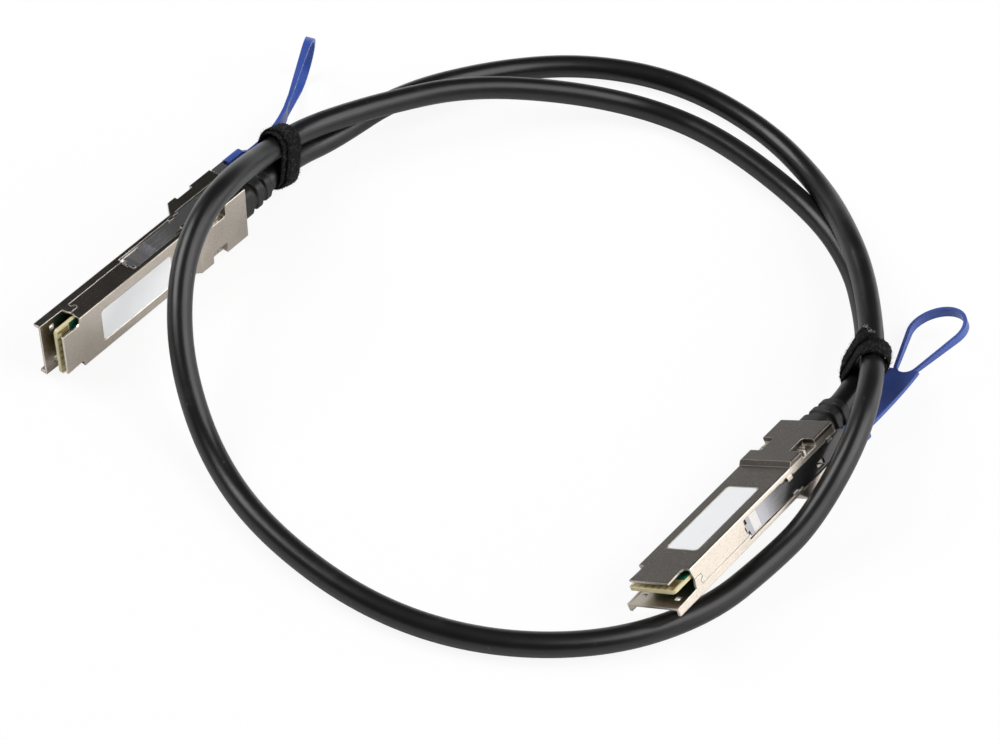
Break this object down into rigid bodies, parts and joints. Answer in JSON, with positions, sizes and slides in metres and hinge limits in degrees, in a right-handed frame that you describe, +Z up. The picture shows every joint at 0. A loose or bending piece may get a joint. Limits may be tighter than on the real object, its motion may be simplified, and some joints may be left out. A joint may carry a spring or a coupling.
{
  "type": "direct attach cable",
  "caption": "Coiled copper direct attach cable with a metal plug module, sliding latch and pull tab at each end, held by two ties.",
  "frame": {"origin": "centre of the bounding box of the two plugs and their pull tabs, on the surface they lie on", "axes": "+X from the plugs' mating ends to the rear, +Y from the rolled plug to the plug that stands on its edge, +Z up"},
  "size_m": [0.2301, 0.222, 0.0346],
  "materials": {
    "plated_shell": "nickel plated, satin",
    "board": "circuit board, bare edges",
    "gold": "gold plated",
    "chip": "moulded",
    "wire_foil": "foil",
    "hot_melt": "moulded",
    "braid": "tinned braid",
    "boot_plastic": "fine matte",
    "screw_steel": "plated",
    "label_film": "bare white film",
    "spring_steel": "polished",
    "tab_plastic": "moulded, royal blue",
    "jacket": "semi-gloss round jacket",
    "hook_and_loop": "woven loop pile"
  },
  "bodies": {
    "cable": {"label_shell_a": "plated_shell", "bottom_shell_a": "plated_shell", "card_a": "board", "contact_pads_a": "gold", "card_chips_a": "chip", "wire_pairs_a": "wire_foil", "wire_clamp_a": "hot_melt", "cable_core_a": "braid", "ferrule_a": "plated_shell", "strain_relief_a": "boot_plastic", "screws_a": "screw_steel", "label_a": "label_film", "label_shell_b": "plated_shell", "bottom_shell_b": "plated_shell", "card_b": "board", "contact_pads_b": "gold", "card_chips_b": "chip", "wire_pairs_b": "wire_foil", "wire_clamp_b": "hot_melt", "cable_core_b": "braid", "ferrule_b": "plated_shell", "strain_relief_b": "boot_plastic", "screws_b": "screw_steel", "label_b": "label_film", "cable_jacket": "jacket", "tie_a": "hook_and_loop", "tie_b": "hook_and_loop"},
    "latch_a": {"latch_slide_a": "spring_steel", "pull_tab_a": "tab_plastic"},
    "latch_b": {"latch_slide_b": "spring_steel", "pull_tab_b": "tab_plastic"}
  },
  "joints": [
    {"name": "latch_a_slide", "type": "slide", "parent": "cable", "child": "latch_a", "axis": [1, 0, 0], "range_m": [0, 0.0016], "stiffness_N_per_m": 2500, "springref_m": -0.001},
    {"name": "latch_b_slide", "type": "slide", "parent": "cable", "child": "latch_b", "axis": [0.9993, -0.0332, -0.0175], "range_m": [0, 0.0016], "stiffness_N_per_m": 2500, "springref_m": -0.001}
  ]
}
